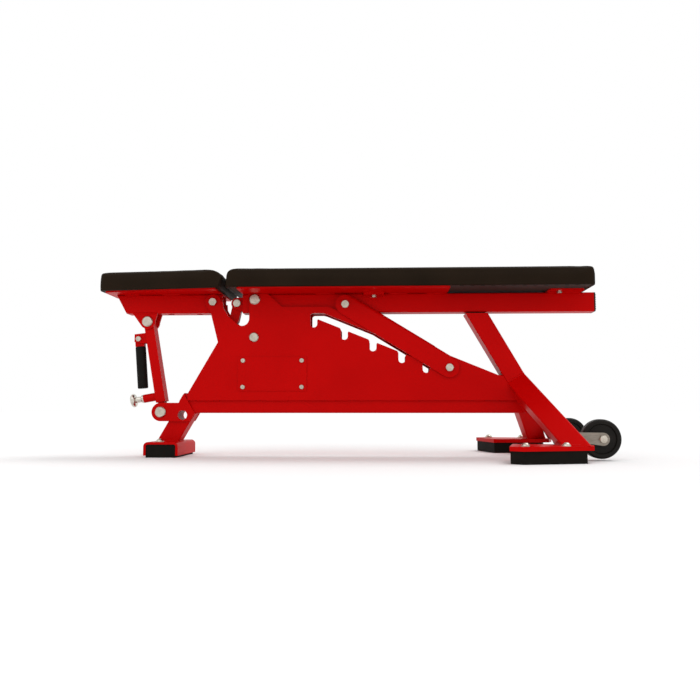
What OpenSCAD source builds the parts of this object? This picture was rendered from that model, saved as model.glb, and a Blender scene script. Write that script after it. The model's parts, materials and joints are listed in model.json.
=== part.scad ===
// Adjustable weight bench, folded flat: ladder back, telescoping seat strut, rear wheels.
// X runs from the seat end (-X) to the wheel end (+X), Z is up, the floor is Z = 0,
// and Y = 0 is the bench's plane of symmetry. "left" is the -Y side.

/* [Cushions] */
// Height of the underside of both cushions
pad_z = 429; // [428:1:430]
// Thickness of both cushions
pad_t = 47; // [40:1:60]
// Front end of the seat cushion
seat_front_x = -650; // [-660:0.5:-640]
// Rear end of the seat cushion
seat_rear_x = -314; // [-315:0.5:-314]
// Front end of the back cushion
back_front_x = -310.5; // [-311:0.1:-309]
// Rear end of the back cushion
back_rear_x = 611; // [560:0.5:612]
// Half width of the back cushion
pad_half_w = 127; // [110:1:150]
// Half width of the seat cushion at its rear end
seat_half_rear = 121; // [110:1:127]
// Half width of the seat cushion at its front end
seat_half_front = 78; // [65:1:110]

/* [Frame] */
// Outer size of the square frame tubes
tube = 50; // [50:1:50]
// Wall of the frame tubes
wall = 3; // [2:0.5:4]
// Height of the underside of the base tube
base_z = 112; // [112:1:112]
// Thickness of the two side plates
plate_t = 6; // [4:1:6]
// Width of the tubes that swing between the side plates
swing_w = 46; // [44:1:47]
// Height of the underside of the seat and back tubes
top_tube_z = 375; // [375:1:375]
// Lean of the front leg and of the rear post from the vertical, in degrees
lean = 30; // [30:1:30]
// Splay of each rear leg, measured in the leaning plane of the post
splay = 50; // [48:1:52]
// Height of the top of the rear foot plates
foot_top = 39; // [39:1:39]
// Thickness of the foot plates
foot_t = 10; // [8:1:10]

/* [Back support] */
// Slope of the ladder channel in the side plates, in degrees
ladder_slope = 22.2; // [22.2:0.1:22.2]
// Width of the ladder channel
channel_w = 19.5; // [19:0.5:20]
// Width of each ladder notch
notch_w = 18; // [17:0.5:18]
// Depth of each notch below the middle of the channel
notch_drop = 37.5; // [34:0.5:38]
// Diameter of the support rod
rod_d = 16; // [14:1:16]
// Plate thickness of the folded brace
brace_t = 5; // [3:1:5]

/* [Wheels] */
// Wheel radius
wheel_r = 47; // [40:1:47]
// Wheel width
wheel_w = 30; // [24:1:32]
// Distance of each wheel's middle from the plane of symmetry
wheel_y = 150; // [149:1:152]

/* [Seat strut] */
// Size along X of the outer strut tube
strut_x = 25; // [25:1:25]
// Size along Y of the outer strut tube
strut_y = 34; // [32:1:34]
// Diameter of the pull knob
knob_d = 36; // [30:1:40]

/* [Hidden] */
$fn = 48;

// Pivots and pins, as [x, z] in the side view
back_pivot = [-250.5, 410];
spacer_at = [-251.5, 310];
arm_bolt = [-300, 401.5];
seat_hinge = [-361, 403.5];
brace_top = [-12, 394.5];
brace_foot = [257, 229];
strut_top = [-537, 354];
strut_foot = [-495, 114.7];
handle_at = [-563, 308.5];
wheel_at = [603, 51];
receiver_at = [-437.6, 106.6];
stop_bar_at = [-187.8, 359.7];

// Middles of the ladder notches along X
notch_x = [-94.5, -14.5, 60, 135, 197.5];

half = tube / 2;
plate_in = half;
plate_out = half + plate_t;
base_top = base_z + tube;
top_z = top_tube_z + tube;
run = tan(lean);
fit = 0.05;

// The elbow between the base tube and the front leg, and the leaning faces of the post
elbow_x = -405.7;
post_face_x = 299;
post_face_z = 374;
post_wide = tube / cos(lean);
post_line_x = post_face_x + post_face_z * run + post_wide / 2;
post_half_y = plate_out;
post_top = 371;

// Colours
red = "crimson";
steel = "silver";
black = "dimgray";
hide = "saddlebrown";
wood = "burlywood";

/* ---- helpers ---- */

// The X of the post's front face at height z
function post_front(z) = post_face_x + (post_face_z - z) * run;

// The height of the middle of the ladder channel at x
function channel_z(x) = brace_foot[1] + tan(ladder_slope) * (brace_foot[0] - x);

// Draws a side-view outline as a slab between two Y values
module side_slab(y0, y1) {
    translate([0, y1, 0]) rotate([90, 0, 0]) linear_extrude(y1 - y0) children();
}

// Draws a side-view outline as two mirrored slabs, |y| from y0 to y1
module both_sides(y0, y1) {
    side_slab(y0, y1) children();
    side_slab(-y1, -y0) children();
}

// Points along an arc about c, from angle a0 to a1
function arc(c, r, a0, a1) = [
    for (i = [0:10]) let (a = a0 + (a1 - a0) * i / 10) c + r * [cos(a), sin(a)]
];

// A disc in a side-view outline
module disc_at(p, r) {
    translate(p) circle(r);
}

// A round bar along Y, |y| up to half_y, at the side-view point p
module cross_bar(p, r, half_y) {
    translate([p[0], -half_y, p[1]]) rotate([-90, 0, 0]) cylinder(h = 2 * half_y, r = r);
}

// A mirrored pair of round bars, |y| from y0 to y1
module cross_bars(p, r, y0, y1) {
    for (side = [-1, 1]) {
        translate([p[0], side > 0 ? y0 : -y1, p[1]]) rotate([-90, 0, 0]) cylinder(h = y1 - y0, r = r);
    }
}

// A rectangle with round corners, centred
module round_rect(w, h, r) {
    square([w - 2 * r, h], center = true);
    square([w, h - 2 * r], center = true);
    for (x = [-1, 1], y = [-1, 1]) {
        translate([x * (w / 2 - r), y * (h / 2 - r)]) circle(r);
    }
}

// A rectangular tube's section, centred
module tube_section(w, h, t) {
    difference() {
        round_rect(w, h, t + 1);
        round_rect(w - 2 * t, h - 2 * t, 1.5);
    }
}

// A tube along X with its underside at height z
module tube_along_x(x0, x1, w, z) {
    translate([x0, 0, z + half]) rotate([90, 0, 90]) linear_extrude(x1 - x0) tube_section(w, tube, wall);
}

// A hex-head bolt along Y: heads outside |y| = y1, shank inside
module hex_pair(p, across, thick, y1, shank_r, shank_y0) {
    for (side = [-1, 1]) {
        translate([p[0], side * y1, p[1]]) rotate([side * -90, 0, 0]) hex_head(across, thick);
    }
    cross_bars(p, shank_r, shank_y0, y1);
}

// A hex head rising along Z, with a chamfered top
module hex_head(across, thick) {
    intersection() {
        cylinder(h = thick, r = across / sqrt(3), $fn = 6);
        cylinder(h = thick, r1 = across / sqrt(3) + thick * 0.6, r2 = across / 2);
    }
}

// A big round rivet-like head rising along Z
module round_head(r, thick) {
    rotate_extrude() polygon([[0, 0], [r, 0], [r, thick * 0.6], [r * 0.86, thick], [0, thick]]);
}

// Round heads on both ends of a pin along Y
module round_heads(p, r, thick, y1) {
    for (side = [-1, 1]) {
        translate([p[0], side * y1, p[1]]) rotate([side * -90, 0, 0]) round_head(r, thick);
    }
}

/* ---- fixed frame ---- */

module base_tube() {
    color(red) intersection() {
        tube_along_x(elbow_x - 60, post_front(base_z) + 5, tube, base_z);
        side_slab(-half - 1, half + 1) polygon([
            [elbow_x, base_z], [elbow_x - tube * run, base_top],
            [post_front(base_top), base_top], [post_front(base_z), base_z]
        ]);
    }
}

// The X of the front leg's rear edge at height z
function leg_rear(z) = elbow_x - (base_z - z) * run;

// The X of the front leg's front edge at height z
function leg_front(z) = leg_rear(z) - post_wide;

module front_leg_outline() {
    polygon([
        [elbow_x, base_z], [elbow_x - tube * run, base_top],
        [leg_front(foot_top), foot_top], [leg_rear(foot_top), foot_top]
    ]);
}

module front_leg_tube() {
    mid_low = [(leg_front(0) + leg_rear(0)) / 2, 0];
    color(red) difference() {
        union() {
            intersection() {
                translate([mid_low[0], 0, 0]) rotate([0, lean, 0]) linear_extrude(230) {
                    tube_section(tube, tube, wall);
                }
                side_slab(-half - 1, half + 1) front_leg_outline();
            }
            cross_bar(receiver_at, 15.5, half - 1);
        }
        cross_bar(receiver_at, 12.5, half + 1);
    }
}

// Ear plates on both sides of the elbow: they carry the strut's lower pin
module front_gussets() {
    ear = 24;
    low = strut_foot[1] - ear;
    high = strut_foot[1] + ear;
    color(red) both_sides(plate_in, plate_out) difference() {
        union() {
            disc_at(strut_foot, ear);
            polygon([
                [strut_foot[0], low], [strut_foot[0], high], [leg_front(high), high],
                [elbow_x - tube * run, base_top], [elbow_x, base_z], [leg_rear(low), low]
            ]);
        }
        disc_at(strut_foot, 8 + fit);
        disc_at(receiver_at, 12.5);
    }
}

front_foot_x = -476;
front_bolt_x = -483.5;

// A folded channel, open end down, that the front leg stands on
module front_foot_plate() {
    color(red) difference() {
        translate([front_foot_x, 0, 0]) rotate([90, 0, 0]) translate([0, 0, -90]) linear_extrude(180) {
            intersection() {
                difference() {
                    round_rect(88, 2 * foot_top, 11);
                    round_rect(76, 2 * foot_top - 12, 5);
                }
                translate([-60, 5]) square([120, foot_top]);
            }
        }
        for (y = [-70, 70]) translate([front_bolt_x, y, 0]) cylinder(h = 60, r = 5.1);
    }
}

module front_foot_rubber() {
    color(black) difference() {
        translate([front_foot_x, 0, 0]) rotate([90, 0, 0]) translate([0, 0, -88]) linear_extrude(176) {
            intersection() {
                round_rect(75.8, 2 * foot_top - 12.2, 4.9);
                translate([-60, 0]) square([120, 60]);
            }
        }
        for (y = [-70, 70]) translate([front_bolt_x, y, 14]) cylinder(h = 60, r = 5.1);
    }
}

// One notch of the ladder: a round bottom and eased edges where it meets the channel
module ladder_notch(x, eased) {
    r = notch_w / 2;
    low = channel_z(x) - notch_drop + r;
    edge = channel_z(x) - channel_w / 2 / cos(ladder_slope);
    slant = tan(ladder_slope) * r;
    polygon(concat(
        [[x - r, edge + slant + 3]],
        arc([x, low], r, 180, 360),
        [[x + r, edge - slant - 5], [x + r + 1.6, edge - slant - 1.9], [x + r + 5.5, edge - slant + 0.4],
        [x + r, edge - slant + 6]]
    ));
    if (eased) {
        polygon([
            [x - r + 1, edge + slant - 6], [x - r, edge + slant - 5], [x - r - 1.6, edge + slant - 1.2],
            [x - r - 5, edge + slant + 2.6], [x - r + 1, edge + slant + 6]
        ]);
    }
}

module ladder_cut() {
    end_x = notch_x[0] + 18;
    across = channel_w / 2;
    up = 90 - ladder_slope;
    top = 372.6;
    left = notch_x[0] - notch_w / 2;
    polygon(concat(
        arc(brace_foot, across, up - 180, up),
        [[notch_x[0] + 30, channel_z(notch_x[0] + 30) + across / cos(ladder_slope)]],
        [[notch_x[0] + 22, top], [left + 8, top]],
        arc([left + 8, top - 8], 8, 90, 180),
        [[left, channel_z(left) - across / cos(ladder_slope) - 1]]
    ));
    for (x = notch_x) ladder_notch(x, x != notch_x[0]);
}

// The throat that lets the front end of the back cushion swing down
module throat_cut() {
    throat_r = 19;
    right = back_pivot[0] - 14.4;
    polygon(concat(
        [[-336.6, 430], [-333.5, 388], [-319.5, 365]],
        arc([right - throat_r, 359], throat_r, 225, 360),
        arc(back_pivot, 14.4, 180, 90),
        [[back_pivot[0], 430]]
    ));
}

module side_plate_outline() {
    slope_rise = 371.2 + tan(ladder_slope) * -13;
    end_x = 397.4;
    end_z = slope_rise - tan(ladder_slope) * end_x;
    difference() {
        polygon(concat(
            [[-424.8, 145], [-424.8, base_top], [-346.7, 297.3], [-367, 376]],
            arc(seat_hinge, 21, 216, 3),
            [
                [-336.8, 403.5], [back_pivot[0], 403.5], [back_pivot[0], 424.4], [-216, 424.4],
                [-178, 389.7], [-58, 389.7], [382, slope_rise - tan(ladder_slope) * 382],
                [392, end_z + 4.8], [post_front(end_z + 4), end_z + 4], [post_front(145), 145]
            ]
        ));
        throat_cut();
        ladder_cut();
        disc_at(back_pivot, 10 + fit);
        disc_at(spacer_at, 6 + fit);
        disc_at(seat_hinge, 6 + fit);
        for (x = panel_screw_x, z = panel_screw_z) disc_at([x, z], 2.5);
    }
}

module side_plate_left() {
    color(red) side_slab(-plate_out, -plate_in) side_plate_outline();
}

module side_plate_right() {
    color(red) side_slab(plate_in, plate_out) side_plate_outline();
}

panel_x0 = -292.5;
panel_x1 = -112.5;
panel_z0 = 169.5;
panel_z1 = 258.5;
panel_t = 2;
panel_screw_x = [-279.5, -125.5];
panel_screw_z = [179.5, 248.5];

// Plain cover panels, one on each side plate
module name_panels() {
    color(red) both_sides(plate_out, plate_out + panel_t) difference() {
        translate([(panel_x0 + panel_x1) / 2, (panel_z0 + panel_z1) / 2]) {
            round_rect(panel_x1 - panel_x0, panel_z1 - panel_z0, 4);
        }
        for (x = panel_screw_x, z = panel_screw_z) disc_at([x, z], 2.5);
    }
}

module panel_screws() {
    color(steel) for (side = [-1, 1], x = panel_screw_x, z = panel_screw_z) {
        translate([x, side * (plate_out + panel_t), z]) rotate([side * -90, 0, 0]) difference() {
            union() {
                round_head(6.2, 3);
                translate([0, 0, -plate_t - panel_t + 0.5]) cylinder(h = plate_t + panel_t, r = 2.5);
            }
            translate([0, 0, 1.2]) cylinder(h = 3, r = 1.9, $fn = 6);
        }
    }
}

// Puts its children in the post's frame: local Z runs up the post, local X is its rear normal
module in_post_frame() {
    translate([post_line_x, 0, 0]) rotate([0, -lean, 0]) children();
}

// The post is closed at both ends, with a drain hole in the lower cap
module rear_post() {
    color(red) difference() {
        union() {
            intersection() {
                in_post_frame() linear_extrude(460) tube_section(tube, 2 * post_half_y, wall);
                translate([0, -60, base_z]) cube([700, 120, post_top - base_z]);
            }
            for (z = [base_z, post_top - wall]) intersection() {
                in_post_frame() linear_extrude(460) round_rect(tube - 1, 2 * post_half_y - 1, wall);
                translate([0, -60, z]) cube([700, 120, wall]);
            }
        }
        translate([post_front(base_z) + post_wide / 2, 0, base_z - 5]) cylinder(h = 10, r = 3);
    }
}

// The leg on the +Y side: it lies between the leaning planes of the post's front and rear faces
module rear_leg() {
    outer_at = [25, 238.8];
    axis_at = [outer_at[0] - half * cos(splay), outer_at[1] - half * sin(splay)];
    color(red) intersection() {
        in_post_frame() translate([0, axis_at[0], axis_at[1]]) rotate([splay - 180, 0, 0]) {
            translate([0, 0, -60]) linear_extrude(460) tube_section(tube, tube, wall);
        }
        translate([300, post_half_y, foot_top]) cube([400, 400, 300]);
    }
}

module rear_leg_right() {
    rear_leg();
}

module rear_leg_left() {
    mirror([0, 1, 0]) rear_leg();
}

// Plan outlines of the +Y foot's plate and rubber, and its bolts, as [x, y]
foot_plan = [[364, 288], [390, 312], [557, 263], [569, 215], [552, 169], [395, 150]];
rubber_plan = [[366.5, 284], [391, 305], [541, 264], [546, 214], [534, 174], [397, 155]];
foot_bolt_at = [[400, 283], [493.5, 268.5]];

module rear_foot_plate() {
    color(red) difference() {
        translate([0, 0, foot_top - foot_t]) linear_extrude(foot_t) polygon(foot_plan);
        for (p = foot_bolt_at) translate(p) cylinder(h = 60, r = 5.1);
    }
}

module rear_foot_rubber() {
    color(black) difference() {
        linear_extrude(foot_top - foot_t) polygon(rubber_plan);
        for (p = foot_bolt_at) translate([p[0], p[1], 10]) cylinder(h = 60, r = 5.1);
    }
}

module rear_foot_plate_left() {
    mirror([0, 1, 0]) rear_foot_plate();
}

module rear_foot_plate_right() {
    rear_foot_plate();
}

module rear_foot_rubber_left() {
    mirror([0, 1, 0]) rear_foot_rubber();
}

module rear_foot_rubber_right() {
    rear_foot_rubber();
}

// One foot bolt with a domed head, standing on z = 0, and its shank below
module foot_bolt(depth) {
    rotate_extrude() intersection() {
        union() {
            square([11, 1.4]);
            translate([0, -1.5]) circle(10.4);
        }
        square([20, 20]);
    }
    translate([0, 0, -depth]) cylinder(h = depth, r = 5);
}

module foot_bolts() {
    color(steel) {
        for (y = [-70, 70]) translate([front_bolt_x, y, foot_top]) foot_bolt(22);
        for (p = foot_bolt_at, side = [-1, 1]) translate([p[0], side * p[1], foot_top]) foot_bolt(26);
    }
}

fork_t = 4;
fork_gap = 4;

// A folded fork behind each rear leg that holds its wheel
module wheel_brackets() {
    inner = wheel_y - wheel_w / 2 - fork_gap - fork_t;
    outer = wheel_y + wheel_w / 2 + fork_gap + fork_t;
    root = 550.5;
    rise = 28;
    arm_r = 15.5;
    color("gray") for (side = [0, 1]) mirror([0, side, 0]) {
        for (y = [inner, outer - fork_t]) side_slab(y, y + fork_t) difference() {
            union() {
                disc_at(wheel_at, arm_r);
                polygon([
                    [root, foot_top + 0.2], [root - rise * run, foot_top + rise],
                    [wheel_at[0], wheel_at[1] + arm_r], [wheel_at[0], wheel_at[1] - arm_r],
                    [root + 27, foot_top + 0.2]
                ]);
            }
            disc_at(wheel_at, 5 + fit);
        }
        side_slab(inner + fork_t, outer - fork_t) polygon([
            [root, foot_top + 0.2], [root - 24 * run, foot_top + 24],
            [root - 24 * run + 3.5, foot_top + 24], [root + 3.5, foot_top + 0.2]
        ]);
    }
}

// The axle bolt of the +Y wheel, with a head outside and a nut inside
module wheel_axle() {
    inner = wheel_y - wheel_w / 2 - fork_gap - fork_t;
    outer = wheel_y + wheel_w / 2 + fork_gap + fork_t;
    color(steel) translate([wheel_at[0], 0, wheel_at[1]]) {
        translate([0, inner - 9, 0]) rotate([-90, 0, 0]) cylinder(h = outer - inner + 9, r = 5);
        translate([0, outer, 0]) rotate([-90, 0, 0]) hex_head(17, 7);
        translate([0, inner, 0]) rotate([90, 0, 0]) hex_head(17, 8);
    }
}

module wheel_axle_left() {
    mirror([0, 1, 0]) wheel_axle();
}

module wheel_axle_right() {
    wheel_axle();
}

// The rubber block on the post's top that the back tube rests on
module post_rest_pad() {
    gap = 0.3;
    front = post_front(post_top);
    color(black) translate([front + 5, -18, post_top]) {
        cube([post_wide - 10, 36, top_tube_z - gap - post_top]);
    }
}

/* ---- pins of the fixed frame ---- */

module back_pivot_pin() {
    color(steel) {
        cross_bar(back_pivot, 10, plate_out);
        round_heads(back_pivot, 14, 5, plate_out);
    }
}

module spacer_pin() {
    color(steel) {
        cross_bar(spacer_at, 6, plate_out);
        cross_bar(spacer_at, 8.5, plate_in);
        round_heads(spacer_at, 12.5, 4.5, plate_out);
    }
}

module seat_hinge_bolt() {
    color(steel) {
        cross_bar(seat_hinge, 6, plate_out);
        hex_pair(seat_hinge, 19, 7.5, plate_out, 6, 20);
    }
}

module strut_lower_pin() {
    color(steel) {
        cross_bar(strut_foot, 8, plate_out);
        cross_bars(strut_foot, 11, strut_y / 2 + 0.4, plate_in);
        round_heads(strut_foot, 14, 5, plate_out);
    }
}

module back_stop_bar() {
    color(red) cross_bar(stop_bar_at, 8, plate_in);
}

/* ---- seat ---- */

module seat_tube() {
    front_top = -621;
    front_low = -594;
    rear = -337;
    color(red) difference() {
        union() {
            intersection() {
                tube_along_x(front_top - 5, rear, swing_w, top_tube_z);
                side_slab(-half, half) polygon([
                    [front_top, top_z], [front_low, top_tube_z], [rear, top_tube_z], [rear, top_z]
                ]);
            }
            side_slab(-swing_w / 2 + 1, swing_w / 2 - 1) polygon([
                [front_top, top_z - 0.5], [front_low, top_tube_z + 0.5],
                [front_low + wall, top_tube_z + 0.5], [front_top + wall, top_z - 0.5]
            ]);
            cross_bar(seat_hinge, 12, swing_w / 2);
        }
        cross_bar(seat_hinge, 6 + fit, half);
        for (x = seat_bolt_x) {
            translate([x, 0, top_tube_z - 1]) cylinder(h = 6, r = 9);
            translate([x, 0, top_z - 6]) cylinder(h = 8, r = 4 + fit);
        }
    }
}

seat_bolt_x = [-565, -480, -402];

// The plan outline of the seat between two X values, shrunk by inset
module seat_plan(x0, x1, inset, r) {
    grow = (seat_half_rear - seat_half_front) / (seat_rear_x - seat_front_x);
    w0 = seat_half_front + (x0 - seat_front_x) * grow - inset;
    w1 = seat_half_front + (x1 - seat_front_x) * grow - inset;
    polygon([
        [x0, -w0 + r], [x0 + r * 0.3, -w0 + r * 0.3], [x0 + r, -w0 - r * grow + 1], [x1, -w1],
        [x1, w1], [x0 + r, w0 + r * grow - 1], [x0 + r * 0.3, w0 - r * 0.3], [x0, w0 - r]
    ]);
}

module seat_mount_plate() {
    color(red) difference() {
        translate([0, 0, top_z]) linear_extrude(pad_z - top_z) seat_plan(seat_front_x + 10, -340, 12, 12);
        for (x = seat_bolt_x) translate([x, 0, top_z - 1]) cylinder(h = 6, r = 4 + fit);
    }
}

board_t = 12;
pad_split_x = -337;

module seat_board() {
    color(wood) difference() {
        translate([0, 0, pad_z]) linear_extrude(board_t) seat_plan(seat_front_x + 9, pad_split_x - 6, 9, 10);
        for (x = seat_bolt_x) translate([x, 0, pad_z - 1]) cylinder(h = board_t, r = 4 + fit);
    }
}

module seat_pad() {
    edge = 9;
    pad_top = pad_z + pad_t;
    color(hide) difference() {
        intersection() {
            translate([0, 0, pad_z]) linear_extrude(pad_t) seat_plan(seat_front_x, pad_split_x, 0, 14);
            side_slab(-200, 200) polygon([
                [seat_front_x, pad_z], [seat_front_x, pad_top - edge], [seat_front_x + 3, pad_top - 3],
                [seat_front_x + edge, pad_top], [-345, pad_top], [pad_split_x, pad_top - 1.6],
                [pad_split_x, pad_z]
            ]);
        }
        translate([0, 0, pad_z]) linear_extrude(board_t) seat_plan(seat_front_x + 9, pad_split_x - 6, 9, 10);
    }
}

// The soft rear roll of the seat cushion, which gives way when the two cushions meet
module seat_pad_nose() {
    pad_top = pad_z + pad_t;
    swing_r = 80.9;
    nose_top = pad_top - 17;
    color(hide) intersection() {
        translate([0, 0, pad_z]) linear_extrude(pad_t) seat_plan(-400, seat_rear_x, 0, 30);
        side_slab(-200, 200) polygon(concat(
            [
                [pad_split_x, pad_z], [pad_split_x, pad_top - 1.6], [-330, pad_top - 5.5],
                [-321, pad_top - 11.5], [-317, pad_top - 15]
            ],
            [for (i = [0:6]) let (z = nose_top + (pad_z - nose_top) * i / 6)
                [back_pivot[0] - sqrt(pow(swing_r, 2) - pow(z - back_pivot[1], 2)), z]]
        ));
    }
}

module seat_pad_bolts() {
    color(steel) for (x = seat_bolt_x) {
        translate([x, 0, top_z - wall]) rotate([180, 0, 0]) hex_head(13, 5);
        translate([x, 0, top_z - wall]) cylinder(h = wall + pad_z - top_z + board_t - 2, r = 4);
    }
}

// Plates under the seat tube that carry the strut's upper pin
module strut_brackets() {
    color(red) both_sides(strut_y / 2 + 0.5, swing_w / 2) difference() {
        union() {
            disc_at(strut_top, 20);
            polygon([
                [-577, top_tube_z], [strut_top[0] - 16.5, strut_top[1] - 11.5], strut_top,
                [strut_top[0] + 20, strut_top[1]], [-511, top_tube_z]
            ]);
        }
        disc_at(strut_top, 6 + fit);
    }
}

module strut_upper_pin() {
    color(steel) {
        cross_bar(strut_top, 6, swing_w / 2);
        round_heads(strut_top, 14, 5, swing_w / 2);
    }
}

/* ---- telescoping strut ---- */

strut_rise = strut_top - strut_foot;
strut_len = norm(strut_rise);
strut_tilt = atan2(strut_rise[0], strut_rise[1]);
strut_low = 27;
pin_up = 43.7;
hole_step = 23.9;
strut_wall = 2;
barrel_end = 47;

// Puts its children in the strut's frame: local Z runs up from the lower pin, local X is rearward
module in_strut_frame() {
    translate([strut_foot[0], 0, strut_foot[1]]) rotate([0, strut_tilt, 0]) children();
}

// Puts its children on the pull pin's line: local Z runs forward from the strut's middle
module on_pin_line() {
    in_strut_frame() translate([0, 0, pin_up]) rotate([0, -90, 0]) children();
}

module strut_outer_tube() {
    gap = strut_x - 2 * strut_wall;
    color(red) difference() {
        in_strut_frame() side_slab(-strut_y / 2, strut_y / 2) polygon(concat(
            [[-strut_x / 2, strut_low], [strut_x / 2, strut_low]],
            arc([0, strut_len], strut_x / 2, 0, 180)
        ));
        in_strut_frame() translate([-gap / 2, -strut_y / 2 + strut_wall, strut_low - 1]) {
            cube([gap, strut_y - 2 * strut_wall, strut_len - strut_low - 14]);
        }
        cross_bar(strut_top, 6 + fit, strut_y);
        on_pin_line() cylinder(h = 20, r = 4.2);
    }
}

module strut_inner_tube() {
    color(red) difference() {
        union() {
            in_strut_frame() linear_extrude(200) round_rect(17, 27, 2);
            cross_bar(strut_foot, 12, strut_y / 2);
        }
        in_strut_frame() translate([0, 0, 16]) linear_extrude(190) round_rect(12, 22, 1);
        cross_bar(strut_foot, 8 + fit, strut_y);
        for (i = [0:2]) {
            in_strut_frame() translate([0, 0, pin_up + i * hole_step]) rotate([0, -90, 0]) {
                cylinder(h = 20, r = 4.8);
            }
        }
    }
}

module pin_housing() {
    color(red) on_pin_line() translate([0, 0, strut_x / 2]) difference() {
        cylinder(h = barrel_end - strut_x / 2, r = 11);
        translate([0, 0, -1]) cylinder(h = barrel_end, r = 9.5 + fit);
    }
}

module pin_ferrule() {
    color(steel) on_pin_line() difference() {
        union() {
            translate([0, 0, barrel_end - 7]) cylinder(h = 7, r = 9.5);
            translate([0, 0, barrel_end]) cylinder(h = 4.5, r = 10.5);
            translate([0, 0, barrel_end + 4.5]) cylinder(h = 1.5, r1 = 10.5, r2 = 9.3);
        }
        cylinder(h = 80, r = 8);
    }
}

module pin_spring() {
    coils = 6;
    wire = 0.9;
    color(steel) on_pin_line() for (i = [0:coils - 1]) {
        translate([0, 0, 26.2 + i * 2.4]) rotate_extrude() translate([7.3, 0]) circle(wire, $fn = 16);
    }
}

// The pin is drawn pulled out; it slides towards the strut by one stroke to lock
module pull_pin() {
    neck_r = 8;
    knob_z = 68;
    knob_t = 13;
    color(steel) on_pin_line() {
        translate([0, 0, 10.8]) cylinder(h = 12, r = 4);
        translate([0, 0, 22]) cylinder(h = 3, r = 9.2);
        translate([0, 0, 25]) cylinder(h = 25, r = 5);
        translate([0, 0, 50]) cylinder(h = knob_z - 50, r = neck_r - 0.05);
        translate([0, 0, knob_z]) rotate_extrude() difference() {
            union() {
                square([knob_d / 2 - knob_t / 2, knob_t]);
                translate([knob_d / 2 - knob_t / 2, knob_t / 2]) circle(knob_t / 2);
            }
            translate([-60, -1]) square([60, knob_t + 2]);
        }
    }
}

module handle_bracket() {
    face = strut_foot[0] + (handle_at[1] - strut_foot[1]) * tan(strut_tilt) - strut_x / 2;
    color(red) both_sides(8.5, 12.5) difference() {
        intersection() {
            polygon([
                [-574.5, 300.5], [-574.5, 321], [face - 3, 324.5], [face + 2, 324.5],
                [face + 12, 297], [-562, 297.5]
            ]);
            // the bracket stops on the strut's front face
            translate(strut_foot) rotate(-strut_tilt) translate([-60 - strut_x / 2, 0]) square([60, 300]);
        }
        disc_at(handle_at, 4 + fit);
    }
}

module handle_bolt() {
    color(steel) {
        cross_bar(handle_at, 4, 12.5);
        hex_pair(handle_at, 13, 5.5, 12.5, 4, 10);
    }
}

handle_tilt = 4.6;

// Puts its children in the handle's frame: local Z runs down from the handle's bolt
module in_handle_frame() {
    translate([handle_at[0], 0, handle_at[1]]) rotate([0, 180 - handle_tilt, 0]) children();
}

module handle_lug() {
    color(red) difference() {
        union() {
            in_handle_frame() side_slab(-8, 8) polygon(concat(
                [[-11.5, 20], [11.5, 20]], arc([0, 0], 11.5, 0, -180)
            ));
            in_handle_frame() translate([0, 0, 10]) cylinder(h = 118, r = 7.5);
        }
        cross_bar(handle_at, 4 + fit, 20);
    }
}

module handle_grip() {
    color(black) in_handle_frame() translate([0, 0, 20.2]) difference() {
        rotate_extrude() polygon([
            [0, 0], [12.2, 0], [13.5, 1.6], [13.5, 109.5], [12, 111.5], [0, 111.5]
        ]);
        translate([0, 0, -1]) cylinder(h = 109.5, r = 7.5);
    }
}

/* ---- back ---- */

module back_tube() {
    front = -284;
    rear = 633;
    color(red) difference() {
        union() {
            tube_along_x(front, rear, swing_w, top_tube_z);
            translate([front, -swing_w / 2 + 1, top_tube_z + 1]) cube([wall, swing_w - 2, tube - 2]);
            both_sides(10, 16) {
                disc_at(arm_bolt, 15.5);
                polygon([
                    [arm_bolt[0], arm_bolt[1] - 15.5], [front, top_tube_z + 4],
                    [front, arm_bolt[1] + 15.5], [arm_bolt[0], arm_bolt[1] + 15.5]
                ]);
            }
            cross_bar(back_pivot, 14, swing_w / 2);
            cross_bar(brace_top, 11, swing_w / 2);
        }
        cross_bar(back_pivot, 10 + fit, half);
        cross_bar(brace_top, 6 + fit, half);
        cross_bar(arm_bolt, 6 + fit, half);
    }
}

plate_front_x = -284;
plate_rear_x = 254.5;
wing_x = [63, 539];
wing_half = 27;
wing_bolt_y = 45;

module back_mount_plate() {
    color(red) difference() {
        translate([(plate_front_x + plate_rear_x) / 2, 0, top_z]) linear_extrude(pad_z - top_z) {
            round_rect(plate_rear_x - plate_front_x, 2 * pad_half_w - 20, 8);
        }
        for (y = [-1, 1]) translate([wing_x[0], y * wing_bolt_y, top_z - 1]) cylinder(h = 6, r = 4 + fit);
    }
}

// The plan outline of the back cushion, shrunk by inset
module back_plan(inset, r) {
    translate([(back_front_x + back_rear_x) / 2, 0]) {
        round_rect(back_rear_x - back_front_x - 2 * inset, 2 * (pad_half_w - inset), r);
    }
}

module back_board() {
    color(wood) difference() {
        translate([0, 0, pad_z]) linear_extrude(board_t) back_plan(9, 8);
        for (x = wing_x, y = [-1, 1]) {
            translate([x, y * wing_bolt_y, pad_z - 1]) cylinder(h = board_t, r = 4 + fit);
        }
    }
}

module back_pad() {
    front_r = 22;
    rear_r = 10;
    pad_top = pad_z + pad_t;
    color(hide) difference() {
        intersection() {
            translate([0, 0, pad_z]) linear_extrude(pad_t) back_plan(0, 12);
            side_slab(-200, 200) polygon(concat(
                [[back_rear_x, pad_z], [back_front_x, pad_z]],
                arc([back_front_x + front_r, pad_top - front_r], front_r, 180, 90),
                arc([back_rear_x - rear_r, pad_top - rear_r], rear_r, 90, 0)
            ));
        }
        translate([0, 0, pad_z]) linear_extrude(board_t) back_plan(9, 8);
    }
}

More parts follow.
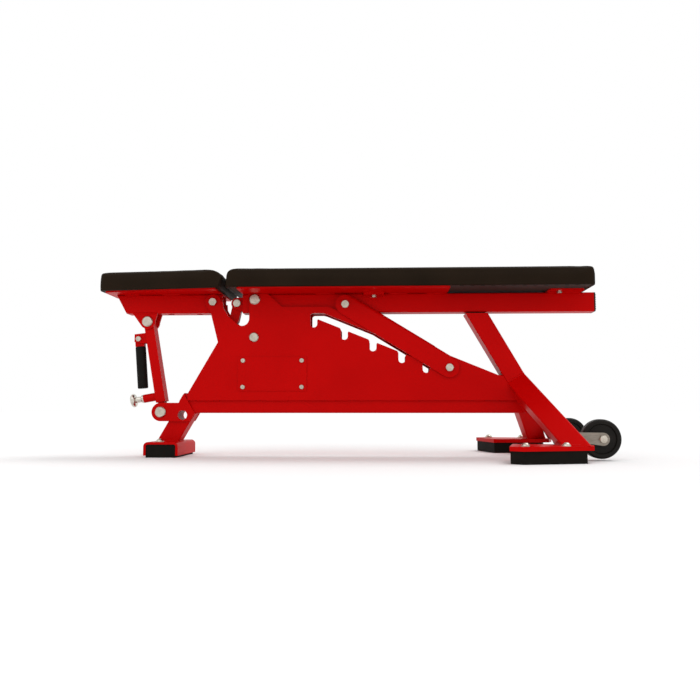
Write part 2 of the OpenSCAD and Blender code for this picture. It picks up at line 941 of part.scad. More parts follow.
// Cross plates that take the back cushion's bolts, one pair at each end of the tube
module back_wings() {
    reach = 62;
    color(red) difference() {
        union() {
            for (side = [-1, 1]) {
                translate([wing_x[0], side * (swing_w / 2 + reach) / 2, top_z - 8]) linear_extrude(8) {
                    round_rect(2 * wing_half, reach - swing_w / 2, 7);
                }
                translate([wing_x[0] - wing_half, side > 0 ? swing_w / 2 : -swing_w / 2 - 12, top_z - 8]) {
                    cube([2 * wing_half, 12, 8]);
                }
            }
            translate([wing_x[1] + 17, 0, top_z]) linear_extrude(pad_z - top_z) {
                round_rect(2 * wing_half + 34, 2 * reach, 7);
            }
        }
        for (x = wing_x, y = [-1, 1]) {
            translate([x, y * wing_bolt_y, top_z - 10]) cylinder(h = 20, r = 4 + fit);
        }
    }
}

module back_pad_bolts() {
    seat_at = [top_z - 8, top_z];
    color(steel) for (i = [0, 1], y = [-1, 1]) {
        translate([wing_x[i], y * wing_bolt_y, seat_at[i]]) {
            rotate([180, 0, 0]) hex_head(13, 6);
            cylinder(h = pad_z + board_t - 2 - seat_at[i], r = 4);
        }
    }
}

// A ribbed black plug in the rear end of the back tube
module back_tube_cap() {
    rear = 633;
    color(black) {
        for (i = [0:3]) {
            translate([rear - 4 - i * 5, 0, top_z - half]) rotate([90, 0, 90]) linear_extrude(2.5) {
                round_rect(swing_w - 2 * wall, tube - 2 * wall, 1.5);
            }
        }
        translate([rear - 24, 0, top_z - half]) rotate([90, 0, 90]) linear_extrude(24) {
            round_rect(24, 26, 2);
        }
        translate([rear, 0, top_z - half]) rotate([90, 0, 90]) linear_extrude(3.5) {
            round_rect(swing_w, tube, 4);
        }
        for (i = [-3:3]) {
            translate([rear + 3.5, -swing_w / 2 + 3, top_z - half + i * 6 - 1.5]) cube([2, swing_w - 6, 3]);
        }
    }
}

arm_tilt = 11.7;
arm_len = 43.5;
arm_half = 12.5;

// The arm hanging from the back tube's lug: its tip meets the stop bar when the back is upright
module back_stop_arm() {
    color(red) side_slab(-9.5, 9.5) difference() {
        translate(arm_bolt) rotate(-90 - arm_tilt) {
            polygon(concat(arc([0, 0], arm_half, 90, 270), arc([arm_len, 0], arm_half, -90, 90)));
        }
        disc_at(arm_bolt, 6 + fit);
    }
}

module stop_arm_bolt() {
    color(steel) {
        cross_bar(arm_bolt, 6, 16);
        hex_pair(arm_bolt, 19, 6.5, 16, 6, 9);
    }
}

/* ---- brace and support rod ---- */

arm_in = plate_out + 1.5;
arm_out = arm_in + brace_t;
brace_run = brace_foot - brace_top;
brace_len = norm(brace_run);
brace_drop = -atan2(brace_run[1], brace_run[0]);
brace_over = 29;
brace_under = 25.5;

// Puts its children in the brace's frame: local X runs from its upper bolt to the rod
module in_brace_frame() {
    translate([brace_top[0], 0, brace_top[1]]) rotate([0, brace_drop, 0]) children();
}

// The folded section: two flanges and the web between them, with rounded bends
module brace_section() {
    bend = 10;
    intersection() {
        difference() {
            translate([0, -20]) round_rect(2 * arm_out, 2 * (brace_over + 20), bend);
            translate([0, -20]) round_rect(2 * arm_in, 2 * (brace_over + 20 - brace_t), bend - brace_t);
        }
        translate([-60, -brace_under]) square([120, 60]);
    }
}

module brace_frame() {
    web_from = 90;
    web_to = 256;
    tube_room = swing_w / 2 + 1.5;
    color(red) difference() {
        intersection() {
            in_brace_frame() translate([-40, 0, 0]) rotate([90, 0, 90]) linear_extrude(brace_len + 80) {
                brace_section();
            }
            in_brace_frame() side_slab(-60, 60) polygon(concat(
                arc([0, 0], brace_under, 270, 90), [[34, brace_over], [brace_len - 26, brace_over]],
                arc([brace_len, 0], brace_under, 90, -90)
            ));
        }
        in_brace_frame() translate([-60, -tube_room, -60]) cube([web_from + 60, 2 * tube_room, 120]);
        in_brace_frame() translate([web_to, -arm_in, -60]) cube([200, 2 * arm_in, 120]);
        cross_bar(brace_top, 6 + fit, 60);
        cross_bar(brace_foot, 6 + fit, 60);
    }
}

module brace_upper_bolt() {
    color(steel) {
        cross_bar(brace_top, 6, arm_out);
        cross_bars(brace_top, 10, swing_w / 2, arm_in - 0.3);
        hex_pair(brace_top, 19, 7.5, arm_out + 0.2, 6, 20);
    }
}

module brace_lower_bolts() {
    color(steel) hex_pair(brace_foot, 19, 7.5, arm_out, 6, arm_in + 0.2);
}

module support_rod() {
    color(steel) cross_bar(brace_foot, rod_d / 2, arm_in - 0.3);
}

/* ---- wheels ---- */

// A moulded wheel with a raised hub and a tread, its axis along Y at y = 0
module wheel() {
    hub_r = 11;
    bush_r = 8;
    half_w = wheel_w / 2;
    color(black) rotate([90, 0, 0]) rotate_extrude() polygon([
        [bush_r, -half_w], [hub_r, -half_w], [hub_r + 1.5, -half_w + 4], [wheel_r - 13, -half_w + 5],
        [wheel_r - 11, -half_w + 1], [wheel_r - 4, -half_w], [wheel_r - 1, -half_w + 2.5],
        [wheel_r, -half_w + 6], [wheel_r, half_w - 6], [wheel_r - 1, half_w - 2.5],
        [wheel_r - 4, half_w], [wheel_r - 11, half_w - 1], [wheel_r - 13, half_w - 5],
        [hub_r + 1.5, half_w - 4], [hub_r, half_w], [bush_r, half_w]
    ]);
}

module wheel_left() {
    translate([wheel_at[0], -wheel_y, wheel_at[1]]) wheel();
}

module wheel_right() {
    translate([wheel_at[0], wheel_y, wheel_at[1]]) wheel();
}

// Plain bushes fixed on the axles, one for each wheel to turn on
module wheel_bushes() {
    color(steel) for (side = [-1, 1]) {
        translate([wheel_at[0], side * wheel_y, wheel_at[1]]) rotate([90, 0, 0]) difference() {
            cylinder(h = wheel_w + 2 * fork_gap, r = 8 - fit, center = true);
            cylinder(h = wheel_w + 20, r = 5 + fit, center = true);
        }
    }
}

base_tube();
front_leg_tube();
front_gussets();
front_foot_plate();
front_foot_rubber();
side_plate_left();
side_plate_right();
name_panels();
panel_screws();
rear_post();
rear_leg_left();
rear_leg_right();
rear_foot_plate_left();
rear_foot_plate_right();
rear_foot_rubber_left();
rear_foot_rubber_right();
foot_bolts();
wheel_brackets();
wheel_axle_left();
wheel_axle_right();
post_rest_pad();
back_pivot_pin();
spacer_pin();
seat_hinge_bolt();
strut_lower_pin();
back_stop_bar();
seat_tube();
seat_mount_plate();
seat_board();
seat_pad();
seat_pad_nose();
seat_pad_bolts();
strut_brackets();
strut_upper_pin();
strut_outer_tube();
handle_bracket();
handle_bolt();
pin_housing();
pin_ferrule();
pin_spring();
pull_pin();
handle_lug();
handle_grip();
strut_inner_tube();
back_tube();
back_mount_plate();
back_board();
back_pad();
back_wings();
back_pad_bolts();
back_tube_cap();
back_stop_arm();
stop_arm_bolt();
brace_upper_bolt();
brace_frame();
brace_lower_bolts();
support_rod();
wheel_left();
wheel_right();
wheel_bushes();
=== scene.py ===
import json
import math
import random

import bpy
import bmesh
from mathutils import Matrix, Vector


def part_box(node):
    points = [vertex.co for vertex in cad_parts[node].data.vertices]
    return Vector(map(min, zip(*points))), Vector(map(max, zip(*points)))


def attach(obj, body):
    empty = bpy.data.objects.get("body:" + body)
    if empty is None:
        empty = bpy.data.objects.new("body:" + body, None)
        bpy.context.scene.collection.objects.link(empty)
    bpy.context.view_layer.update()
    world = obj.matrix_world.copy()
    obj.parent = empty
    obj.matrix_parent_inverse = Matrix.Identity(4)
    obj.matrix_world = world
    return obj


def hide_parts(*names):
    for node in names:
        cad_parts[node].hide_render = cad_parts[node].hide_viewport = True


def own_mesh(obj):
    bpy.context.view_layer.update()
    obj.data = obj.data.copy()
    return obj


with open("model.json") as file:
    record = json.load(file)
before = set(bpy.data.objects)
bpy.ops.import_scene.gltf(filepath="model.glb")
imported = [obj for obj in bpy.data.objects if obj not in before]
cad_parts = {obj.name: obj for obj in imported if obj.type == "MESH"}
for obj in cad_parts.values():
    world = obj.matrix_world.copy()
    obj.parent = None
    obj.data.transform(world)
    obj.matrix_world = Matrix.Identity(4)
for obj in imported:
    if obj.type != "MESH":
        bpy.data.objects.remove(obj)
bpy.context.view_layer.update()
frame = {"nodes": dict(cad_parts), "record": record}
nodes = frame["nodes"]
MM = 0.001


# ---------- camera ----------

def make_camera():
    """The main camera, with its place, heading and lens."""
    data = bpy.data.cameras.new("camera")
    cam = bpy.data.objects.new("camera", data)
    bpy.context.scene.collection.objects.link(cam)
    data.sensor_width = 36.0
    data.lens = 38.33
    data.clip_start, data.clip_end = 0.05, 60
    cam.location = (0.0797, -1.9623, 0.1182)
    yaw, pitch = 0.0411, 0.0812
    look = Vector((
        -math.sin(yaw) * math.cos(pitch), math.cos(yaw) * math.cos(pitch), math.sin(pitch)))
    cam.rotation_euler = look.to_track_quat("-Z", "Y").to_euler()
    bpy.context.scene.camera = cam


make_camera()


# ---------- materials ----------

class Nodes:
    """A small wrapper for building one material."""

    def __init__(self, name, **sockets):
        self.mat = bpy.data.materials.new(name)
        self.mat.use_nodes = True
        self.tree = self.mat.node_tree
        self.shader = self.tree.nodes["Principled BSDF"]
        for key, value in sockets.items():
            self.shader.inputs[key.replace("_", " ")].default_value = value

    def add(self, kind, **props):
        node = self.tree.nodes.new(kind)
        for key, value in props.items():
            if hasattr(node, key):
                setattr(node, key, value)
            else:
                node.inputs[key.replace("_", " ")].default_value = value
        return node

    def link(self, a, b):
        self.tree.links.new(a, b)

    def coords(self, scale=(1, 1, 1)):
        tex = self.add("ShaderNodeTexCoord")
        mapping = self.add("ShaderNodeMapping")
        mapping.inputs["Scale"].default_value = scale
        self.link(tex.outputs["Object"], mapping.inputs["Vector"])
        return mapping.outputs["Vector"]

    def noise(self, scale, detail=3.0, rough=0.55, vector=None):
        node = self.add("ShaderNodeTexNoise", Scale=scale, Detail=detail, Roughness=rough)
        self.link(vector or self.coords(), node.inputs["Vector"])
        return node.outputs["Fac"]

    def cells(self, scale):
        node = self.add("ShaderNodeTexVoronoi", feature="DISTANCE_TO_EDGE")
        node.inputs["Scale"].default_value = scale
        self.link(self.coords(), node.inputs["Vector"])
        return node.outputs["Distance"]

    def ramp(self, fac, *stops):
        node = self.add("ShaderNodeValToRGB")
        ramp = node.color_ramp
        while len(ramp.elements) < len(stops):
            ramp.elements.new(0.5)
        for element, (at, colour) in zip(ramp.elements, stops):
            element.position = at
            element.color = (*colour, 1)
        self.link(fac, node.inputs["Fac"])
        return node.outputs["Color"]

    def span(self, fac, low, high):
        node = self.add("ShaderNodeMapRange")
        node.inputs["To Min"].default_value = low
        node.inputs["To Max"].default_value = high
        self.link(fac, node.inputs["Value"])
        return node.outputs["Result"]

    def mix(self, a, b, kind="ADD"):
        node = self.add("ShaderNodeMath", operation=kind)
        self.link(a, node.inputs[0])
        if isinstance(b, (int, float)):
            node.inputs[1].default_value = b
        else:
            self.link(b, node.inputs[1])
        return node.outputs[0]

    def bump(self, height, strength, distance):
        node = self.add("ShaderNodeBump")
        node.inputs["Strength"].default_value = strength
        node.inputs["Distance"].default_value = distance
        self.link(height, node.inputs["Height"])
        self.link(node.outputs["Normal"], self.shader.inputs["Normal"])

    def base(self, colour):
        self.link(colour, self.shader.inputs["Base Color"])

    def rough(self, value):
        self.link(value, self.shader.inputs["Roughness"])


def powder_coat():
    n = Nodes("red_powder_coat", Specular_IOR_Level=0.035)
    fine = n.noise(900, 2, 0.6)
    broad = n.noise(7, 4, 0.5)
    n.base(n.ramp(broad, (0.3, (0.462, 0.0006, 0.0006)), (0.7, (0.510, 0.0009, 0.0008))))
    n.rough(n.span(broad, 0.30, 0.40))
    n.bump(n.mix(fine, n.noise(260, 2, 0.5)), 0.10, 0.0004)
    return n.mat


def vinyl():
    n = Nodes("cushion_vinyl", Specular_IOR_Level=0.05)
    grain = n.cells(620)
    pores = n.noise(1500, 2, 0.5)
    broad = n.noise(9, 4, 0.55)
    n.base(n.ramp(broad, (0.3, (0.0115, 0.0066, 0.0032)), (0.7, (0.0165, 0.0096, 0.0050))))
    n.rough(n.span(n.mix(broad, grain), 0.52, 0.66))
    n.bump(n.mix(grain, n.mix(pores, 0.25, "MULTIPLY")), 0.35, 0.0006)
    return n.mat


def rubber():
    n = Nodes("foot_rubber", Specular_IOR_Level=0.10)
    broad = n.noise(24, 5, 0.6)
    n.base(n.ramp(broad, (0.3, (0.0045, 0.0034, 0.0022)), (0.7, (0.0095, 0.0075, 0.0052))))
    n.rough(n.span(broad, 0.62, 0.82))
    n.bump(n.noise(700, 3, 0.6), 0.30, 0.0005)
    return n.mat


def tyre():
    n = Nodes("wheel_rubber", Specular_IOR_Level=0.14)
    broad = n.noise(30, 5, 0.6)
    n.base(n.ramp(broad, (0.3, (0.0050, 0.0040, 0.0030)), (0.7, (0.0100, 0.0080, 0.0062))))
    n.rough(n.span(broad, 0.38, 0.55))
    n.bump(n.noise(500, 3, 0.6), 0.15, 0.0004)
    return n.mat


def metal(name, dark, light, low, high, streak=(1, 1, 1), bump=0.08):
    n = Nodes(name, Metallic=1.0)
    along = n.coords(streak)
    broad = n.noise(60, 4, 0.6, along)
    fine = n.noise(900, 3, 0.6, along)
    n.base(n.ramp(broad, (0.3, dark), (0.7, light)))
    n.rough(n.span(n.mix(broad, fine, "MULTIPLY"), low, high))
    n.bump(fine, bump, 0.0003)
    return n.mat


def plywood():
    n = Nodes("stained_board", Specular_IOR_Level=0.25)
    grain = n.noise(4, 6, 0.65, n.coords((3, 40, 200)))
    n.base(n.ramp(grain, (0.3, (0.012, 0.009, 0.007)), (0.7, (0.030, 0.021, 0.015))))
    n.rough(n.span(grain, 0.6, 0.8))
    n.bump(grain, 0.2, 0.0005)
    return n.mat


def moulded():
    n = Nodes("moulded_plug", Specular_IOR_Level=0.12)
    broad = n.noise(80, 4, 0.6)
    n.base(n.ramp(broad, (0.3, (0.010, 0.009, 0.008)), (0.7, (0.017, 0.015, 0.013))))
    n.rough(n.span(broad, 0.45, 0.6))
    n.bump(n.noise(1200, 2, 0.5), 0.15, 0.0003)
    return n.mat


def grip_rubber():
    n = Nodes("grip_foam", Specular_IOR_Level=0.10)
    broad = n.noise(40, 5, 0.6)
    n.base(n.ramp(broad, (0.3, (0.0045, 0.0036, 0.0028)), (0.7, (0.0090, 0.0074, 0.0058))))
    n.rough(n.span(broad, 0.6, 0.8))
    n.bump(n.cells(900), 0.35, 0.0004)
    return n.mat


RED = powder_coat()
COVER = vinyl()
RUBBER = rubber()
TYRE = tyre()
GRIP = grip_rubber()
PLUG = moulded()
BOARD = plywood()
ZINC = metal("bright_zinc", (0.40, 0.35, 0.29), (0.62, 0.56, 0.48), 0.22, 0.42)
STEEL = metal("bare_steel", (0.20, 0.17, 0.14), (0.30, 0.26, 0.22), 0.30, 0.50, (1, 1, 8), 0.15)
CHROME = metal("chrome", (0.56, 0.52, 0.46), (0.66, 0.63, 0.57), 0.12, 0.22, bump=0.02)
STEEL_ROD = metal("rod_steel", (0.46, 0.43, 0.38), (0.62, 0.58, 0.52), 0.20, 0.34, (1, 12, 1), 0.08)

BY_SLOT = {
    "red_paint": RED, "bolts": ZINC, "bare_steel": STEEL, "chrome": CHROME, "cover": COVER,
    "plywood": BOARD, "rubber": RUBBER, "wheel": TYRE, "plug": PLUG,
}
SPECIAL = {"handle_grip": GRIP, "support_rod": STEEL_ROD, "wheel_bushes": STEEL_ROD}


def paint(obj, mat):
    obj.data.materials.clear()
    obj.data.materials.append(mat)


def soften(obj, width):
    """Rounds a node's crisp edges a little, as paint and machining do."""
    mod = obj.modifiers.new("edges", "BEVEL")
    mod.width = width
    mod.segments = 2
    mod.limit_method = "ANGLE"
    mod.angle_limit = math.radians(32)
    mod.use_clamp_overlap = True
    mod.harden_normals = False


slot_of = {s["node"]: s["material_slot"] for s in frame["record"]["subparts"]}
for name, obj in nodes.items():
    paint(obj, SPECIAL.get(name, BY_SLOT[slot_of[name]]))

SOFT_EDGES = {
    "side_plate_left": 0.7, "side_plate_right": 0.7, "front_gussets": 0.7, "name_panels": 0.4,
    "rear_foot_plate_left": 1.2, "rear_foot_plate_right": 1.2, "rear_foot_rubber_left": 1.5,
    "rear_foot_rubber_right": 1.5, "front_foot_rubber": 1.2, "wheel_brackets": 0.6,
    "seat_mount_plate": 0.5, "back_mount_plate": 0.5, "back_wings": 0.7, "strut_brackets": 0.6,
    "brace_frame": 0.6, "strut_outer_tube": 1.2, "handle_bracket": 0.5, "back_stop_arm": 0.8,
    "handle_lug": 0.8, "pull_pin": 0.3, "post_rest_pad": 0.5,
}
for name, width in SOFT_EDGES.items():
    soften(nodes[name], width * MM)


# ---------- helpers for new pieces ----------

def mesh_piece(name, bm, mat, body, smooth=True):
    bmesh.ops.recalc_face_normals(bm, faces=bm.faces)
    data = bpy.data.meshes.new(name)
    bm.to_mesh(data)
    bm.free()
    obj = bpy.data.objects.new(name, data)
    bpy.context.scene.collection.objects.link(obj)
    data.materials.append(mat)
    for poly in data.polygons:
        poly.use_smooth = smooth
    if body:
        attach(obj, body)
    return obj


def tube_ring(bm, centre, tangent, radius, count):
    """A ring of vertices around a point of a path, square to its direction."""
    t = tangent.normalized()
    side = t.cross(Vector((0, 0, 1)))
    if side.length < 1e-4:
        side = t.cross(Vector((0, 1, 0)))
    side.normalize()
    top = side.cross(t)
    ring = []
    for i in range(count):
        a = 2 * math.pi * i / count
        ring.append(bm.verts.new(
            centre + side * (radius * math.cos(a)) + top * (radius * math.sin(a))))
    return ring


def skin(bm, rings, cap=True):
    for a, b in zip(rings, rings[1:]):
        n = len(a)
        for i in range(n):
            bm.faces.new((a[i], a[(i + 1) % n], b[(i + 1) % n], b[i]))
    if cap:
        bm.faces.new(rings[0])
        bm.faces.new(rings[-1])


def weld(bm, path, radius=2.2, seed=1):
    """A weld bead along a polyline in millimetres, with the ripples of its passes."""
    rng = random.Random(seed)
    pts = [Vector(p) * MM for p in path]
    for a, b in zip(pts, pts[1:]):
        length = (b - a).length
        steps = max(4, int(length / (1.9 * MM)))
        rings = []
        for i in range(steps + 1):
            t = i / steps
            swell = 0.88 + 0.14 * (i % 2) + 0.05 * rng.random()
            taper = min(1.0, 0.35 + 3.0 * min(t, 1 - t) * steps / 6)
            r = radius * MM * swell * taper
            rings.append(tube_ring(bm, a.lerp(b, t), b - a, r, 8))
        skin(bm, rings)


# ---------- cushions ----------

PAD_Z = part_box("back_pad")[0].z
PAD_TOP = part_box("back_pad")[1].z
PIVOT = (-0.2505, 0.410)    # the back hinge, as (x, z)
SWING = 0.0809              # radius that the back cushion's end sweeps about the hinge
SIDE_INSET = 0.0014         # keeps the sewn cover inside the pad's own outline
TIP_GAP = 0.0045            # the seat's rear tip stops this far short of the upright back cushion
LIFT_CAP = 0.0290           # the most that the hollow rises into the seat's rear underside
HOLD = 0.012                # the cover is held still below this height over the board
PUFF_FRAMES = 14            # length of the cloth simulation


def section(w, z0, z1, r_top, r_low, crown, recess):
    """Half of a cushion's cross-section as (y, z), from under its middle up to the middle of its top."""
    pts = []
    fold = 0.026
    room = max(w - fold, 0.02)
    lift = 0.0045 if recess else 0.0
    for i in range(9):
        pts.append((room * i / 8, z0 + lift))
    pts.append((room + 0.0010, z0 + lift * 0.35))
    pts.append((room + 0.0022, z0 - 0.0001))
    for i in range(1, 5):
        pts.append((room + 0.0022 + (w - r_low - room - 0.0022) * i / 5, z0 - 0.0001))
    for i in range(5):
        a = -math.pi / 2 + math.pi / 2 * i / 4
        pts.append((w - r_low + r_low * math.cos(a), z0 + r_low + r_low * math.sin(a)))
    low, high = z0 + r_low, z1 - r_top
    for i in range(1, 5):
        t = i / 5
        belly = 0.0016 * math.sin(math.pi * t)
        pts.append((w + belly, low + (high - low) * t))
    for i in range(7):
        a = math.pi / 2 * i / 6
        pts.append((w - r_top + r_top * math.cos(a), high + r_top * math.sin(a)))
    for i in range(1, 19):
        t = 1 - i / 18
        y = (w - r_top) * t
        pts.append((y, z1 + crown * (1 - (y / (w - r_top)) ** 2)))
    return pts


def cushion(name, stations, half_width, bottom, top, r_top=0.0075, crown=0.0022):
    """A lofted cushion: one cross-section at each station along X, closed by its end faces."""
    bm = bmesh.new()
    rings = []
    for x in stations:
        w = half_width(x)
        z0, z1 = bottom(x), top(x)
        tall = z1 - z0
        edge_in = min(x - stations[0], stations[-1] - x)
        rt = min(r_top, tall * 0.45)
        rise = crown * min(1, edge_in / 0.05)
        half = section(w, z0, z1, rt, min(0.0035, tall * 0.3), rise, edge_in > 0.026)
        ring = [bm.verts.new((x, y, z)) for y, z in half]
        ring += [bm.verts.new((x, -y, z)) for y, z in reversed(half[1:-1])]
        rings.append(ring)
    skin(bm, rings, cap=False)
    for ring in (rings[0], rings[-1]):
        middle = [v.co.copy() for v in ring]
        centre = sum(middle, Vector()) / len(middle)
        previous = ring
        for shrink in (0.9, 0.7, 0.45, 0.2):
            current = [bm.verts.new(centre + (c - centre) * shrink) for c in middle]
            n = len(ring)
            for i in range(n):
                bm.faces.new((previous[i], previous[(i + 1) % n], current[(i + 1) % n], current[i]))
            previous = current
        bm.faces.new(previous)
    return mesh_piece(name, bm, COVER, None)


def puff(obj, hold_below, cap):
    """Tightens the cover over its foam with a short cloth simulation, then keeps only its result."""
    rest = [v.co.copy() for v in obj.data.vertices]
    group = obj.vertex_groups.new(name="held")
    for v in obj.data.vertices:
        if v.co.z < hold_below:
            group.add([v.index], 1.0, "REPLACE")
    mod = obj.modifiers.new("cloth", "CLOTH")
    cloth = mod.settings
    cloth.quality = 6
    cloth.mass = 0.35
    cloth.tension_stiffness = cloth.compression_stiffness = 28
    cloth.shear_stiffness = 14
    cloth.bending_stiffness = 1.2
    cloth.vertex_group_mass = "held"
    cloth.use_pressure = True
    cloth.uniform_pressure_force = 3.0
    cloth.effector_weights.gravity = 0
    mod.collision_settings.use_collision = False
    mod.point_cache.frame_start, mod.point_cache.frame_end = 1, PUFF_FRAMES
    scene = bpy.context.scene
    for f in range(1, PUFF_FRAMES + 1):
        scene.frame_set(f)
    dg = bpy.context.evaluated_depsgraph_get()
    moved = [v.co.copy() for v in obj.evaluated_get(dg).data.vertices]
    obj.modifiers.remove(mod)
    obj.vertex_groups.remove(group)
    scene.frame_set(1)
    for v, a, b in zip(obj.data.vertices, rest, moved):
        d = b - a
        if d.length > cap:
            d *= cap / d.length
        v.co = a + d
    obj.data.update()


def spread(x0, x1, fine0, fine1, step):
    """Stations from x0 to x1, closer together near both ends."""
    out = [x0 + fine0 * (1 - math.cos(math.pi / 2 * i / 9)) for i in range(10)]
    count = max(2, round((x1 - fine1 - x0 - fine0) / step))
    out += [x0 + fine0 + (x1 - fine1 - x0 - fine0) * i / count for i in range(1, count + 1)]
    out += [x1 - fine1 + fine1 * math.sin(math.pi / 2 * i / 9) for i in range(1, 10)]
    return out


def corner(d, r):
    """How far a rounded plan corner pulls the side in, at distance d from the end."""
    return 0.0 if d >= r else r - math.sqrt(max(0.0, r * r - (r - d) ** 2))


def build_back():
    lo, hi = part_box("back_pad")
    x0, x1 = lo.x, hi.x
    w = hi.y - 0.0016

    def half_width(x):
        pull = 0.0012 * math.sin(math.pi * (x - x0) / (x1 - x0))
        return w - pull - corner(x - x0, 0.013) - corner(x1 - x, 0.013)

    def bottom(x):
        return PAD_Z + 0.0001

    def top(x):
        z = PAD_TOP - 0.0010
        return z - 0.72 * corner(x - x0, 0.022) - 0.55 * corner(x1 - x, 0.010)

    obj = cushion("back_cushion", spread(x0, x1, 0.026, 0.026, 0.010), half_width, bottom, top)
    puff(obj, PAD_Z + HOLD, 0.0025)
    return obj


def build_seat():
    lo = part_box("seat_pad")[0]
    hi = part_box("seat_pad_nose")[1]
    x0, x1 = lo.x, hi.x - TIP_GAP
    rear = hi.y
    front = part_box("seat_pad")[1].y
    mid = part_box("seat_pad")[1].x
    grow = (rear - front) / (hi.x - mid)

    def half_width(x):
        return rear - (hi.x - x) * grow - corner(x - x0, 0.014) - corner(x1 - x, 0.006) - SIDE_INSET

    def bottom(x):
        lift = 0.0
        d = x - PIVOT[0]
        if abs(d) < SWING:
            lift = max(0.0, PIVOT[1] + math.sqrt(SWING * SWING - d * d) - PAD_Z)
        return PAD_Z + 0.0001 + min(lift, LIFT_CAP)

    def top(x):
        z = PAD_TOP - 0.0010 - 0.55 * corner(x - x0, 0.009)
        run = max(0.0, x - (x1 - 0.036)) / 0.036
        return z - 0.0155 * run ** 2.1

    obj = cushion("seat_cushion", spread(x0, x1, 0.030, 0.026, 0.009), half_width, bottom, top, r_top=0.007)
    puff(obj, PAD_Z + HOLD, 0.0022)
    return obj


back_cushion = build_back()
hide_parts("back_pad")
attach(back_cushion, "back")

seat_cushion = build_seat()
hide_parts("seat_pad", "seat_pad_nose")
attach(seat_cushion, "seat")
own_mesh(seat_cushion)

for obj in (back_cushion, seat_cushion):
    mod = obj.modifiers.new("smooth", "SUBSURF")
    mod.levels = mod.render_levels = 1


def staples(name, rows, body):
    """The staples that hold the cover under the board, as small bridges of flat wire."""
    bm = bmesh.new()
    rng = random.Random(5)
    for (ax, ay), (bx, by), count in rows:
        for i in range(count):
            t = (i + 0.5) / count
            x, y = ax + (bx - ax) * t, ay + (by - ay) * t
            turn = math.atan2(by - ay, bx - ax) + rng.uniform(-0.12, 0.12)
            made = bmesh.ops.create_cube(bm, size=1)["verts"]
            bmesh.ops.transform(bm, verts=made, matrix=(
                Matrix.Translation((x, y, PAD_Z - 0.0004)) @ Matrix.Rotation(turn, 4, "Z")
                @ Matrix.Diagonal((0.010, 0.0011, 0.0009, 1))))
    bmesh.ops.bevel(bm, geom=bm.edges[:], offset=0.0002, segments=1, affect="EDGES")
    return mesh_piece(name, bm, PLUG, body)


back_lo, back_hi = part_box("back_pad")
side = back_hi.y - 0.013
plate_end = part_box("back_mount_plate")[1].x
staples("back_cover_staples", [
    ((plate_end + 0.015, side), (back_hi.x - 0.03, side), 12),
    ((plate_end + 0.015, -side), (back_hi.x - 0.03, -side), 12),
    ((back_hi.x - 0.013, -side + 0.03), (back_hi.x - 0.013, side - 0.03), 9),
], "back")


# ---------- welds ----------

def frame_welds():
    bm = bmesh.new()
    seed = 0
    for s in (-1, 1):
        stitches = [(-405, -340), (-230, -160), (-60, 10), (110, 180), (280, 350), (380, 428)]
        for a, b in stitches:
            seed += 1
            weld(bm, [(a, s * 25.2, 144.8), (b, s * 25.2, 144.8)], 2.6, seed)
        weld(bm, [(421.8, s * 25, 161.6), (449.8, s * 25, 112.8)], 2.4, 40 + s)
        weld(bm, [(-406.2, s * 25.4, 112), (-419.2, s * 25.4, 90.2)], 2.2, 50 + s)
        weld(bm, [(-446.8, s * 25.4, 140.6), (-434.8, s * 25.4, 161.6)], 2.2, 60 + s)
        weld(bm, [(-505, s * 25, 39.4), (-448, s * 25, 39.4)], 2.6, 70 + s)
        # the leaning legs on their foot plates
        weld(bm, [(492, s * 179, 39.4), (492, s * 256, 39.4)], 2.6, 80 + s)
        weld(bm, [(493, s * 256.4, 39.4), (549, s * 256.4, 39.4)], 2.6, 90 + s)
    weld(bm, [(-434.6, -24, 162), (-434.6, 24, 162)], 2.6, 4)
    weld(bm, [(-405.7, -24, 112), (-405.7, 24, 112)], 2.6, 5)
    weld(bm, [(421.4, -24, 162.4), (421.4, 24, 162.4)], 2.6, 6)
    weld(bm, [(-505, -24, 39.4), (-505, 24, 39.4)], 2.6, 7)
    weld(bm, [(-447.5, -24, 39.4), (-447.5, 24, 39.4)], 2.6, 8)
    return mesh_piece("frame_welds", bm, RED, "frame")


def leg_welds():
    """Beads where each rear leg meets the side of the post."""
    bm = bmesh.new()
    c, s30 = math.cos(math.radians(30)), math.sin(math.radians(30))

    def at(lx, y, lz):
        return (543.8 + lx * c - lz * s30, y, lx * s30 + lz * c)

    for s in (-1, 1):
        top = 238.8 - 6 * math.tan(math.radians(50)) * 0.704    # where the leg runs into the post
        weld(bm, [at(-25, s * 31.2, top), at(25, s * 31.2, top)], 2.8, 11 + s)
        weld(bm, [at(-25, s * 31.2, top), at(-25, s * 31.2, top - 60)], 2.2, 21 + s)
    return mesh_piece("leg_welds", bm, RED, "frame")


def seat_welds():
    bm = bmesh.new()
    for s in (-1, 1):
        weld(bm, [(-577, s * 23, 375), (-511, s * 23, 375)], 2.2, 31 + s)
        weld(bm, [(-600, s * 23, 425.2), (-560, s * 23, 425.2)], 2.2, 33 + s)
        weld(bm, [(-500, s * 23, 425.2), (-450, s * 23, 425.2)], 2.2, 35 + s)
    return mesh_piece("seat_welds", bm, RED, "seat")


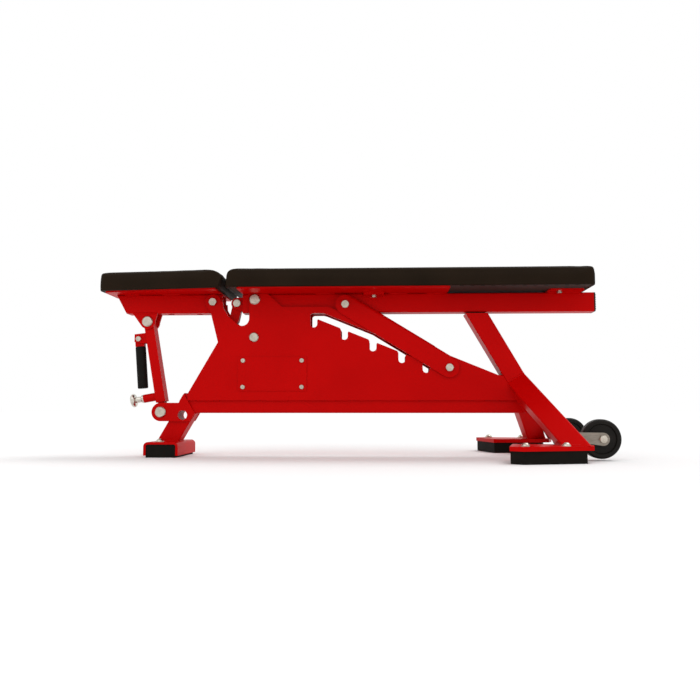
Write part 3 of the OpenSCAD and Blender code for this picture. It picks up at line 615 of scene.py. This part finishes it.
def back_welds():
    bm = bmesh.new()
    for s in (-1, 1):
        for a, b in ((-270, -215), (-90, -40), (100, 150), (200, 252)):
            weld(bm, [(a, s * 23, 425.2), (b, s * 23, 425.2)], 2.2, 37 + s)
        weld(bm, [(514, s * 23, 425.2), (598, s * 23, 425.2)], 2.2, 39 + s)
    return mesh_piece("back_welds", bm, RED, "back")


frame_welds()
leg_welds()
seat_welds()
back_welds()


# ---------- stage ----------

def backdrop():
    bm = bmesh.new()
    size = 40
    corners = ((-size, -size, 0), (size, -size, 0), (size, size, 0), (-size, size, 0))
    bm.faces.new([bm.verts.new(p) for p in corners])
    n = Nodes("floor_white", Roughness=0.9, Specular_IOR_Level=0.0)
    n.shader.inputs["Base Color"].default_value = (0.80, 0.80, 0.80, 1)
    obj = mesh_piece("floor", bm, n.mat, None, smooth=False)


def lamp(name, at, aim, size, power):
    """A rectangular area light at one point, turned towards another."""
    data = bpy.data.lights.new(name, "AREA")
    data.shape = "RECTANGLE"
    data.size, data.size_y = size
    data.energy = power
    obj = bpy.data.objects.new(name, data)
    obj.location = at
    obj.rotation_euler = (Vector(aim) - Vector(at)).to_track_quat("-Z", "Y").to_euler()
    bpy.context.scene.collection.objects.link(obj)


def sun(name, toward, strength, spread_deg):
    """Soft parallel light from the direction toward."""
    data = bpy.data.lights.new(name, "SUN")
    data.energy = strength
    data.angle = math.radians(spread_deg)
    obj = bpy.data.objects.new(name, data)
    obj.rotation_euler = Vector(toward).to_track_quat("Z", "Y").to_euler()
    bpy.context.scene.collection.objects.link(obj)


backdrop()
lamp("key", (-1.2, -2.6, 2.6), (0, 0, 0.2), (2.4, 1.6), 12)
sun("sky", (0.45, 0.30, 1.0), 1.0, 28)

world = bpy.data.worlds.new("studio")
bpy.context.scene.world = world
world.use_nodes = True
world.node_tree.nodes["Background"].inputs["Color"].default_value = (1, 1, 1, 1)
world.node_tree.nodes["Background"].inputs["Strength"].default_value = 1.0
bpy.context.scene.view_settings.view_transform = "Standard"
